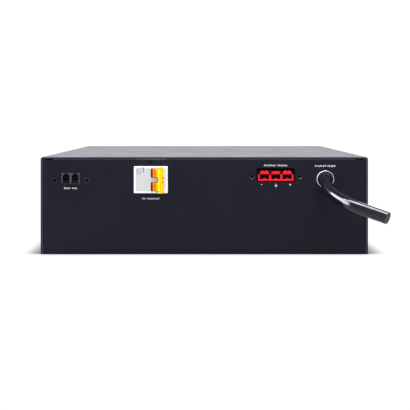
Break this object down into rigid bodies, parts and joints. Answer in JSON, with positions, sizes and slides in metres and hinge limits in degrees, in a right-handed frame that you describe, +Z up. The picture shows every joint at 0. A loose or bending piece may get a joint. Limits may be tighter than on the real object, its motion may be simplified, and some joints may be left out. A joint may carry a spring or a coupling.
{
  "type": "server rack battery",
  "caption": "Rack battery pack in a sheet-steel case: breaker with tied toggles, red output socket, twin jacks, input cable, snap-off bezel, batteries in trays.",
  "frame": {"origin": "underside of the case at its middle, where it rests", "axes": "+Z up, -Y out of the rear panel with the breaker and sockets, +Y out of the bezel, +X to the right when the rear panel is looked at"},
  "size_m": [0.4483, 0.7238, 0.13],
  "materials": {
    "painted_steel": "fine-textured black powder coat",
    "bezel_plastic": "moulded black",
    "plated_steel": "zinc plated",
    "battery_case": "dark grey ABS",
    "breaker_white": "light grey-white thermoset",
    "toggle_orange": "orange moulded",
    "tie_yellow": "yellow moulded",
    "connector_red": "red moulded",
    "contact_silver": "silver-plated copper",
    "jack_plastic": "dark grey moulded",
    "board": "green solder mask",
    "black_screw": "black oxide",
    "ring_grey": "light grey nylon",
    "rubber": "black rubber",
    "nut_plastic": "black nylon",
    "cable_sheath": "glossy black PVC",
    "insulation": "translucent polyester",
    "fuse_body": "ceramic",
    "lead_red": "red PVC",
    "lead_black": "black PVC"
  },
  "bodies": {
    "case": {"base_chassis": "painted_steel", "battery_01": "battery_case", "battery_02": "battery_case", "battery_03": "battery_case", "battery_04": "battery_case", "battery_05": "battery_case", "battery_06": "battery_case", "battery_07": "battery_case", "battery_08": "battery_case", "battery_09": "battery_case", "battery_10": "battery_case", "battery_11": "battery_case", "battery_12": "battery_case", "battery_13": "battery_case", "battery_14": "battery_case", "battery_15": "battery_case", "battery_16": "battery_case", "battery_17": "battery_case", "battery_18": "battery_case", "battery_input_cable": "cable_sheath", "battery_retainer": "painted_steel", "battery_tray_left": "plated_steel", "battery_tray_right": "plated_steel", "breaker_bracket": "plated_steel", "breaker_pole_lower": "breaker_white", "breaker_pole_upper": "breaker_white", "breaker_screw": "black_screw", "din_rail": "plated_steel", "fuse_base": "nut_plastic", "fuse_link": "fuse_body", "gland_bushing": "rubber", "gland_locknut": "nut_plastic", "gland_ring": "ring_grey", "insulation_sheet": "insulation", "jack_block": "jack_plastic", "jack_board": "board", "jack_screw_left": "black_screw", "jack_screw_right": "black_screw", "jack_standoff_left": "plated_steel", "jack_standoff_right": "plated_steel", "lead_breaker_to_output": "lead_black", "lead_fuse_to_breaker": "lead_red", "outer_cover": "painted_steel", "output_bracket": "painted_steel", "output_contact_ground": "contact_silver", "output_contact_negative": "contact_silver", "output_contact_positive": "contact_silver", "output_housing": "connector_red", "output_screw_left": "black_screw", "output_screw_right": "black_screw", "rear_panel": "painted_steel"},
    "toggle": {"toggle_lower": "toggle_orange", "toggle_upper": "toggle_orange", "toggle_tie_bar": "tie_yellow"},
    "bezel": {"front_bezel": "bezel_plastic", "bezel_stud_left_lower": "plated_steel", "bezel_stud_left_upper": "plated_steel", "bezel_stud_right_lower": "plated_steel", "bezel_stud_right_upper": "plated_steel"}
  },
  "joints": [
    {"name": "breaker_throw", "type": "hinge", "parent": "case", "child": "toggle", "pos_m": [-0.0656, -0.299, 0.0997], "axis": [0, 0, -1], "range_deg": [0, 86]},
    {"name": "bezel_pull", "type": "slide", "parent": "case", "child": "bezel", "axis": [0, 1, 0], "range_m": [0, 0.04]}
  ]
}
